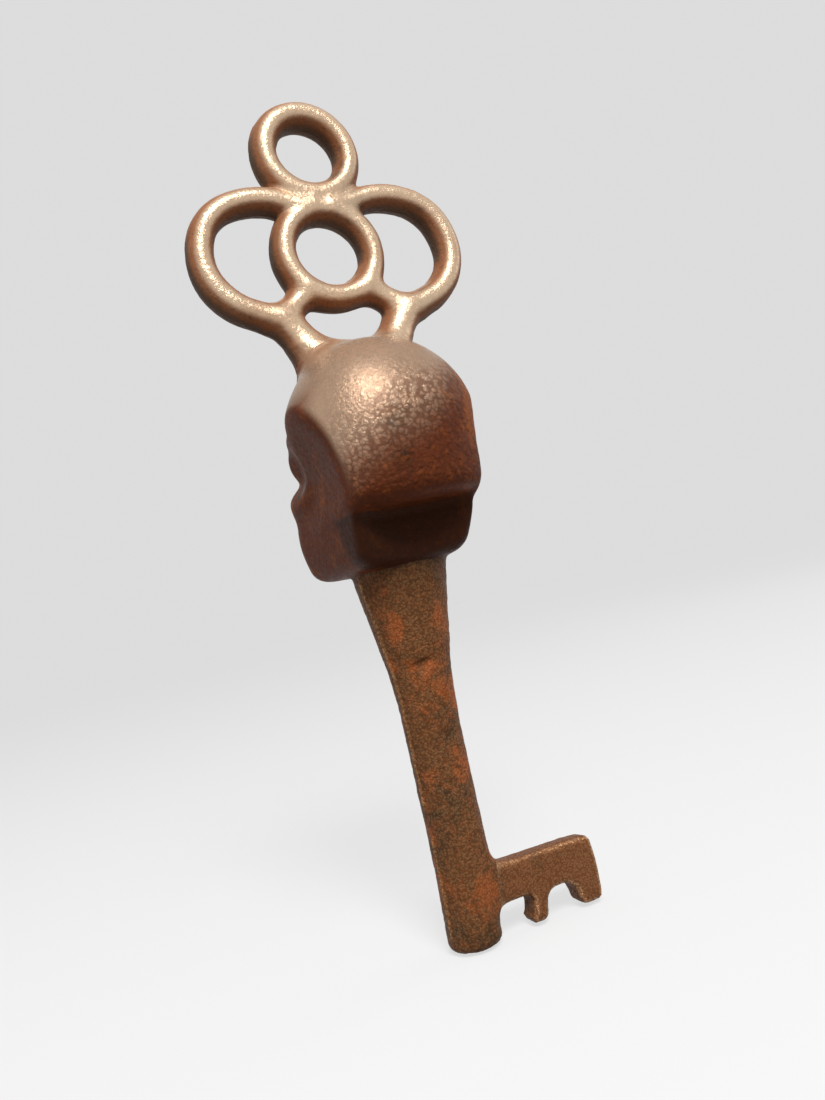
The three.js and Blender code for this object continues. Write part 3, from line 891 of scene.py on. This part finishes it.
def iron(name, tones, scale_from, rust_from, shine, grain_size, grain_height, high_tones=None):
    """Rusty cast iron: a brown skin with dark scale and orange rust in clouds, grains that stand out of it
    with dark gaps between, painted shade in its nooks, and bare satin metal where it is rubbed, whose pale
    tone also stands in as a painted highlight. The tones are those of the skin, the scale, the rust and the
    worn metal. The high tones, of the skin and the worn metal, take over towards the bow, and are lighter
    partly as painted light."""
    material = bpy.data.materials.new(name)
    material.use_nodes = True
    tree = material.node_tree
    shader = tree.nodes["Principled BSDF"]
    place = linked(tree, "ShaderNodeTexCoord").outputs["Object"]

    def noise(size, detail, roughness=0.6, distortion=0.0):
        node = linked(tree, "ShaderNodeTexNoise",
                      {"Vector": place, "Scale": 1000 / size, "Detail": detail, "Roughness": roughness,
                       "Distortion": distortion})
        return node.outputs["Fac"]

    def trait(attribute):
        return linked(tree, "ShaderNodeAttribute", attribute_name=attribute).outputs["Fac"]

    def maths(operation, *values):
        return linked(tree, "ShaderNodeMath", enumerate(values), operation=operation).outputs[0]

    relief, crown, painted_shade, stain, pebbled = (
        trait(attribute) for attribute in ("relief", "crown", "painted_shade", "stain", "pebbled"))
    skin, scale, rust, worn = (colour(tone) for tone in tones)
    if high_tones:
        high = trait("high")
        skin = mixed(tree, high, skin, colour(high_tones[0]))
        worn = mixed(tree, high, worn, colour(high_tones[1]))

    # Grains, in cells whose places are drifted by a noise so that they don't lie in rows
    drift = linked(tree, "ShaderNodeTexNoise", {"Vector": place, "Scale": 700 / grain_size, "Detail": 2})
    spot = linked(tree, "ShaderNodeVectorMath", {0: drift.outputs["Color"], 1: (0.0012 * grain_size,) * 3,
                                                 2: place}, operation="MULTIPLY_ADD").outputs[0]
    cells = linked(tree, "ShaderNodeTexVoronoi", {"Vector": spot, "Scale": 1000 / grain_size}).outputs
    gaps = maths("MULTIPLY", stepped(tree, cells["Distance"], 0.3, 0.7), pebbled)
    specks = noise(SPECK_SIZE, 3, 0.62)

    # Colour, from the skin outwards
    clouds = stepped(tree, noise(SCALE_SIZE, 5, 0.62, 0.3), scale_from, scale_from + 0.16)
    base = mixed(tree, clouds, skin, scale)
    stained = maths("MULTIPLY_ADD", stain, 0.22, noise(RUST_SIZE, 6, 0.7, 0.3))
    base = mixed(tree, stepped(tree, stained, rust_from, rust_from + 0.2, 0.0, RUST_SHARE), base, rust)
    base = mixed(tree, stepped(tree, cells["Color"], 0.6, 0.85, 0.0, RUST_GRAIN_SHARE), base, rust)
    base = mixed(tree, stepped(tree, specks, 0.46, 0.32, 0.0, SPECK_SHARE), base, scale)
    base = mixed(tree, maths("MULTIPLY", gaps, GAP_SHARE), base, scale)
    # Painted shade: the dark scale tone laid into hollows, corners and fillets, onto flanks and under
    # overhangs
    base = mixed(tree, stepped(tree, painted_shade, 0.1, 1.0, 0.0, PAINTED_SHADE_SHARE), base, scale)
    # Pale worn metal where the crowns are rubbed, which also stands in as a painted highlight
    rubbed = maths("MULTIPLY", crown, stepped(tree, relief, -1.6, 0.4, 0.6, 1.0))
    rubbed = maths("MULTIPLY", rubbed, stepped(tree, gaps, 0.0, 1.0, 1.0, 0.4))
    tree.links.new(mixed(tree, rubbed, base, worn), shader.inputs["Base Color"])

    # Gloss
    tree.links.new(stepped(tree, rubbed, 0.0, 1.0, 0.0, BARE_METAL_SHARE), shader.inputs["Metallic"])
    rough = maths("ADD", stepped(tree, rubbed, 0.0, 0.8, MATT, shine),
                  stepped(tree, specks, 0.3, 0.7, -0.12, 0.08))
    tree.links.new(rough, shader.inputs["Roughness"])
    shader.inputs["Specular IOR Level"].default_value = GLOSS

    # Fine relief: sand from the mould everywhere, and the grains where the skin is pebbled
    sand = linked(tree, "ShaderNodeBump", {"Height": noise(SAND_SIZE, 3, 0.62), "Strength": 0.6,
                                           "Distance": SAND_HEIGHT * MM})
    grains = maths("ADD", stepped(tree, cells["Distance"], 0.0, 0.8, 0.45, 0.0), noise(grain_size, 5, 0.72))
    grains = maths("MULTIPLY", grains, pebbled)
    coarse = linked(tree, "ShaderNodeBump", {"Height": grains, "Strength": 0.9,
                                             "Distance": grain_height * MM, "Normal": sand.outputs[0]})
    tree.links.new(coarse.outputs[0], shader.inputs["Normal"])
    return material


def head_iron():
    """Reddish brown on the head, pebbled low on its back, and a warm tan towards the bow, lighter there
    partly as painted light.
    """
    return iron("head_iron", ("5f2d16", "2c180d", "904c1c", "bca086"), scale_from=0.58, rust_from=0.56,
                shine=0.27, grain_size=0.75, grain_height=0.26, high_tones=("8c522e", "dec4a6"))


def shank_iron():
    """Olive brown with orange rust, and a fine sharp grain."""
    return iron("shank_iron", ("5f3418", "2a1c11", "a65020", "b88c60"), scale_from=0.48, rust_from=0.51,
                shine=0.3, grain_size=0.42, grain_height=0.17)


def bit_iron():
    """Even brown with a fine grain."""
    return iron("bit_iron", ("6c3a1a", "3a2312", "92501e", "c0926a"), scale_from=0.56, rust_from=0.58,
                shine=0.28, grain_size=0.36, grain_height=0.12)


# Bow

BOW_FLASH = 0.12
BOW_FLASH_WIDTH = 0.2

upper_iron = head_iron()


def bow_bar(name, line, width, depth, sides, closed=False):
    """A bar of the bow with its cast skin, its mould line in the middle of its thickness, its crowns, front
    and back, painted pale partly as rubbed metal and partly as a painted highlight, and painted shade on
    its flanks and in its fillets."""
    points, moved, ways = bar_surface(name, line, width, depth, sides, closed)
    flat = points.reshape(-1, 3)
    normals = outward_normals(points, closed, ways).reshape(-1, 3)
    high = bow_share(flat)
    skin = upper_skin(flat)
    flash = BOW_FLASH * bump(flat[:, 1], 0, BOW_FLASH_WIDTH) * ramp(grain(flat, 5, 9), -0.5, 0.3)
    # The flanks, turned away from the front, the back and the top, take painted shade and rust; the
    # fillets, where the bar has swollen into its neighbours, take painted shade too
    flanks = (1 - ramp(np.maximum(np.abs(normals[:, 1]), normals[:, 2]), 0.1, 0.65)) * high
    traits = {"relief": skin / SKIN_HEIGHT, "crown": rubbed_and_lit_share(flat, normals),
              "painted_shade": np.maximum(0.7 * ramp(moved, 0.4, 1.1) * ramp(high, 0.7, 1), 0.9 * flanks),
              "stain": 1.2 * flanks, "pebbled": 0.2 + 0 * high, "high": high}
    return casting(name, points, skin + flash, traits, upper_iron, closed)


for name, radius, z, waves, count in (
        ("top_ring", TOP_RING_RADIUS, TOP_RING_Z, TOP_RING_WAVES, 230),
        ("centre_ring", CENTRE_RING_RADIUS, CENTRE_RING_Z, CENTRE_RING_WAVES, 250)):
    bow_bar(name, ring_line(radius, z, waves, count), RING_WIDTH, RING_DEPTH, 90, closed=True)
for side, place in ((1, "left"), (-1, "right")):
    bow_bar(place + "_loop", loop_line(side, 360), LOOP_WIDTH, LOOP_DEPTH, 84)
    bow_bar(place + "_strut", strut_line(side, 46), STRUT_WIDTH, STRUT_DEPTH, 76)


# Head

def hollow_depth(p):
    """How deep the hollows of the face go: full depth on an oval floor, and a smooth step out to the
    rim."""
    depth = np.zeros(len(p))
    for width, height, deep, side, rise in FACE_HOLLOWS:
        off = np.hypot((np.abs(p[:, 0]) - side) / (width / 2), (p[:, 2] - DOME_Z - rise) / (height / 2))
        depth = np.maximum(depth, deep * (1 - ramp(off, HOLLOW_FLOOR_SHARE, 1)))
    return np.where(p[:, 1] < HOLLOW_LIMIT_Y, depth, 0)


def tooth_depth(p):
    """How deep the grooves round the teeth go: upright ones at every pitch across the face, and the bite
    line between the rows. They fade out towards the roots and the sides."""
    x, y, z = p[:, 0], p[:, 1], p[:, 2] - BITE_Z
    off = np.abs(x / TOOTH_PITCH - np.round(x / TOOTH_PITCH)) * TOOTH_PITCH
    upright = (1 - ramp(off, 0.15, TOOTH_GROOVE)) * np.where(
        z > 0, 1 - ramp(z, UPPER_TOOTH - TOOTH_ROOT, UPPER_TOOTH),
        1 - ramp(-z, LOWER_TOOTH - TOOTH_ROOT, LOWER_TOOTH))
    bite = 1 - ramp(np.abs(z), 0.1, BITE_GROOVE)
    front = ramp(-y, 5.5, 8) * ramp(TEETH_HALF_WIDTH - np.abs(x), 0, 1)
    return TOOTH_DEPTH * np.maximum(upright, bite) * front


PEBBLE_HEIGHT = 0.045


def head_piece(name, centre, around, along):
    """A piece of the head with its hollows, its teeth and its cast skin: pebbled low on the back of the
    dome, rubbed smooth on top of it and painted pale there, partly as a painted highlight, and finer on
    its sides and its jaw. Its hollows, its grooves and the wall under the nape are darkened as painted
    shade."""
    points, ways = round_surface(name, centre, around, along)
    flat = points.reshape(-1, 3)
    carved = hollow_depth(flat) + tooth_depth(flat)
    points = points - ways * carved.reshape(along, around, 1)
    normals = outward_normals(points, False, ways).reshape(-1, 3)
    x, y, z = flat.T
    wander = grain(flat, 7, 7)
    low = (ramp(DOME_Z + 5 - z - PALE_TOP_SLANT * x + 3 * wander, -3, 6) * ramp(z, BITE_Z + 3, BITE_Z + 5)
           * ramp(normals[:, 1], 0.25, 0.6))
    skin = upper_skin(flat) + PEBBLE_HEIGHT * low * (grain(flat, 1.05, 3) + 0.8 * grain(flat, 0.62, 4))
    back_facing = ramp(1 - np.abs(normals[:, 0]), 0.05, 0.4)
    right_side = ramp(-x + 3 * wander, 6, 12) * ramp(z, DOME_Z - 10, DOME_Z - 2)
    # Painted shadow on the wall under the overhang of the nape
    nape_shadow = 0.75 * ramp(y, 4, 8) * ramp(DOME_Z - NAPE_DROP + 0.4 - z, 0, 0.8)
    traits = {"relief": skin / SKIN_HEIGHT, "crown": rubbed_and_lit_share(flat, normals),
              "painted_shade": np.maximum(ramp(carved, 0.3, 2.5), nape_shadow),
              "stain": np.maximum(right_side, 0.2 * (1 - back_facing)),
              "pebbled": 0.04 + 0.2 * back_facing + 0.8 * low, "high": bow_share(flat)}
    return casting(name, points, skin, traits, upper_iron)


head_piece("skull", (0, -2, DOME_Z - 6), 380, 262)
head_piece("jaw", (0, -3.8, (BITE_Z + CHIN_Z) / 2), 320, 160)


# Shank and bit

# Turns about the shank are in degrees from +X towards +Y
FLASH = 0.28
FLASH_TURN = 12
FLASH_SPREAD = 3.5
DENT = 0.5
DENT_TURN = 74
DENT_Z = -90
DENT_SPREAD = 18
DENT_HALF_WIDTH = 0.7
NUB = 0.45
NUB_TURN = 114
NUB_RISE = 1.8
NUB_SPREAD = 7
NUB_HALF_WIDTH = 0.6
RUST_PATCH_Z = -83.5
RUST_PATCH_HALF_WIDTH = 2.5
# Turn and spread of each patch
RUST_PATCHES = [(50, 12), (115, 8)]


def shank_piece(around, along):
    """The shank with its coarse skin, the mould line down its side, a dent across it, a nub at its tip and
    patches of orange rust below the neck. Painted shade darkens its neck under the jaw and its dent, and
    its mould line is painted pale, partly as a highlight."""
    points = shank_surface(around, along)
    flat = points.reshape(-1, 3)
    turn = np.degrees(np.arctan2(flat[:, 1], flat[:, 0]))
    height = flat[:, 2]
    skin = cast_skin(flat, *SHANK_SKIN)
    ridge = bump(turn, FLASH_TURN + 2 * grain(flat, 9, 13), FLASH_SPREAD) * ramp(grain(flat, 5, 9), -0.7, 0)
    ridge = ridge * ramp(height, SHANK_END_Z + 0.5, SHANK_END_Z + 3) * ramp(CHIN_Z - height, 0, 2)
    dent = bump(turn, DENT_TURN, DENT_SPREAD) * bump(height, DENT_Z + 0.02 * (turn - DENT_TURN),
                                                     DENT_HALF_WIDTH)
    nub = bump(turn, NUB_TURN, NUB_SPREAD) * bump(height, SHANK_END_Z + NUB_RISE, NUB_HALF_WIDTH)
    patches = bump(height, RUST_PATCH_Z, RUST_PATCH_HALF_WIDTH) * np.maximum.reduce(
        [bump(turn, middle, spread) for middle, spread in RUST_PATCHES])
    patches = np.maximum(1.6 * patches, 0.5 * ramp(grain(flat, 5, 11), 0.1, 0.5))
    # Painted shade under the jaw: full at the top of the neck and lighter down to 8 mm below the chin,
    # where there is less rust too
    neck = ramp(height, CHIN_Z - 8, CHIN_Z - 2)
    shade_under_jaw = ramp(height, CHIN_Z - 1.6, CHIN_Z + 0.2)
    traits = {"relief": skin / SHANK_SKIN_HEIGHT - 2.5 * dent, "crown": 0.25 + 0.4 * ridge,
              "stain": patches - 0.6 * neck, "painted_shade": np.maximum.reduce([shade_under_jaw, 0.6 * dent, 0.35 * neck]),
              "pebbled": 0 * height + 1}
    raised = skin + FLASH * ridge - DENT * dent + NUB * nub
    return casting("shank", points, raised, traits, shank_iron())


def bit_piece(around, along):
    """The bit with its grainy skin, its edges painted bright, partly as rubbed metal and partly as a
    highlight, and painted shade in its corner with the shank.
    """
    points = bit_surface(around, along)
    flat = points.reshape(-1, 3)
    skin = cast_skin(flat, *BIT_SKIN)
    faced = np.abs(grid_normals(points, False)[..., 1]).ravel()
    edge = ramp(faced, 0.3, 0.6) * (1 - ramp(faced, 0.85, 0.97))
    traits = {"relief": skin / SKIN_HEIGHT, "crown": 0.26 + 0.54 * edge, "stain": 0 * edge,
              "painted_shade": 0.5 * ramp(flat[:, 0], -6.5, -4.5), "pebbled": 0 * edge + 1}
    return casting("bit", points, skin, traits, bit_iron())


shank_piece(220, 360)
bit_piece(150, 220)


# Camera, at the photograph's angle

FOCAL_SHARE = 900 / 1100
CAMERA_TURN, CAMERA_RISE, CAMERA_ROLL = np.radians([157.5, -3.05, -12.51])
CAMERA_DISTANCE = 145.85
CAMERA_SIDESTEP = 3.15
CAMERA_AIM_Z = -71.46


def placed(*columns):
    """Placement from the three axes and the place, in metres, of what it places."""
    matrix = Matrix.Identity(4)
    for i, column in enumerate(columns):
        for j in range(3):
            matrix[j][i] = column[j]
    return matrix


camera_data = bpy.data.cameras.new("camera")
camera_data.sensor_width = 36
camera_data.lens = camera_data.sensor_width * FOCAL_SHARE
camera_data.clip_start, camera_data.clip_end = 0.005, 20
camera = added("camera", camera_data)
bpy.context.scene.camera = camera

back = np.array([np.sin(CAMERA_TURN) * np.cos(CAMERA_RISE), -np.cos(CAMERA_TURN) * np.cos(CAMERA_RISE),
                 np.sin(CAMERA_RISE)])
level = np.cross([0, 0, 1.0], back)
level /= np.linalg.norm(level)
upright = np.cross(back, level)
right = np.cos(CAMERA_ROLL) * level + np.sin(CAMERA_ROLL) * upright
above = np.cross(back, right)
aim = np.array([0, 0, CAMERA_AIM_Z])
camera.matrix_world = placed(right, above, back,
                             (aim + CAMERA_SIDESTEP * right + CAMERA_DISTANCE * back) * MM)


# Floor and light

PAPER = 0.72
FLOOR_SHADE = 0.26
WORLD_LIGHT = 0.3
FLOOR_GLOW = PAPER - FLOOR_SHADE * WORLD_LIGHT
FLOOR_HALF = 3.0
FLOOR_Z = (SHANK_END_Z - 0.4) * MM


def looked_at(tree):
    """1 for rays from the camera and for rays that make reflections or pass through glass, and else 0."""
    path = linked(tree, "ShaderNodeLightPath")
    seen = linked(tree, "ShaderNodeMath",
                  {0: path.outputs["Is Camera Ray"], 1: path.outputs["Is Glossy Ray"]},
                  operation="MAXIMUM").outputs[0]
    return linked(tree, "ShaderNodeMath", {0: seen, 1: path.outputs["Is Transmission Ray"]},
                  operation="MAXIMUM").outputs[0]


def paper(name):
    """Pale matt paper: a plain shade that takes the object's shadow, and over it, for the camera and in
    reflections only, a glow that brings it to the tone of the backdrop."""
    material = bpy.data.materials.new(name)
    material.use_nodes = True
    tree = material.node_tree
    tree.nodes.clear()
    matt = linked(tree, "ShaderNodeBsdfDiffuse", {"Color": (FLOOR_SHADE, FLOOR_SHADE, FLOOR_SHADE, 1)})
    glow = linked(tree, "ShaderNodeEmission", {"Color": (1, 1, 1, 1)})
    tree.links.new(stepped(tree, looked_at(tree), 0.0, 1.0, 0.0, FLOOR_GLOW), glow.inputs["Strength"])
    both = linked(tree, "ShaderNodeAddShader", {0: matt.outputs[0], 1: glow.outputs[0]})
    linked(tree, "ShaderNodeOutputMaterial", {"Surface": both.outputs[0]})
    return material


floor_mesh = bpy.data.meshes.new("floor")
floor_mesh.from_pydata([(x * FLOOR_HALF, y * FLOOR_HALF, FLOOR_Z)
                        for x, y in ((-1, -1), (1, -1), (1, 1), (-1, 1))], [], [(0, 1, 2, 3)])
floor_mesh.materials.append(paper("floor_paper"))
floor = added("floor", floor_mesh)


def softbox(name, way, distance, size, power):
    """A square lamp that looks at the middle of the key from a direction given in the camera's right, up
    and back. Distance and size are in metres."""
    lamp_data = bpy.data.lights.new(name, "AREA")
    lamp_data.size = size
    lamp_data.energy = power
    lamp = added(name, lamp_data)
    toward = way[0] * right + way[1] * above + way[2] * back
    toward = toward / np.linalg.norm(toward)
    across = np.cross([0, 0.3, 1.0], toward)
    across /= np.linalg.norm(across)
    lamp.matrix_world = placed(across, np.cross(toward, across), toward, aim * MM + toward * distance)
    return lamp


softbox("key_light", (0.0, 0.95, 0.8), 0.6, 0.24, 3.8)
softbox("left_fill", (-1.0, 0.25, 0.4), 0.8, 0.5, 0.5)
softbox("rim_light", (0.9, 0.5, -0.5), 0.8, 0.4, 0.9)

world = bpy.data.worlds.new("studio")
bpy.context.scene.world = world
world.use_nodes = True
backdrop = world.node_tree.nodes["Background"]
backdrop.inputs["Color"].default_value = (1, 1, 1, 1)
brightness = stepped(world.node_tree, looked_at(world.node_tree), 0.0, 1.0, WORLD_LIGHT, PAPER)
world.node_tree.links.new(brightness, backdrop.inputs["Strength"])
bpy.context.scene.view_settings.view_transform = "Standard"
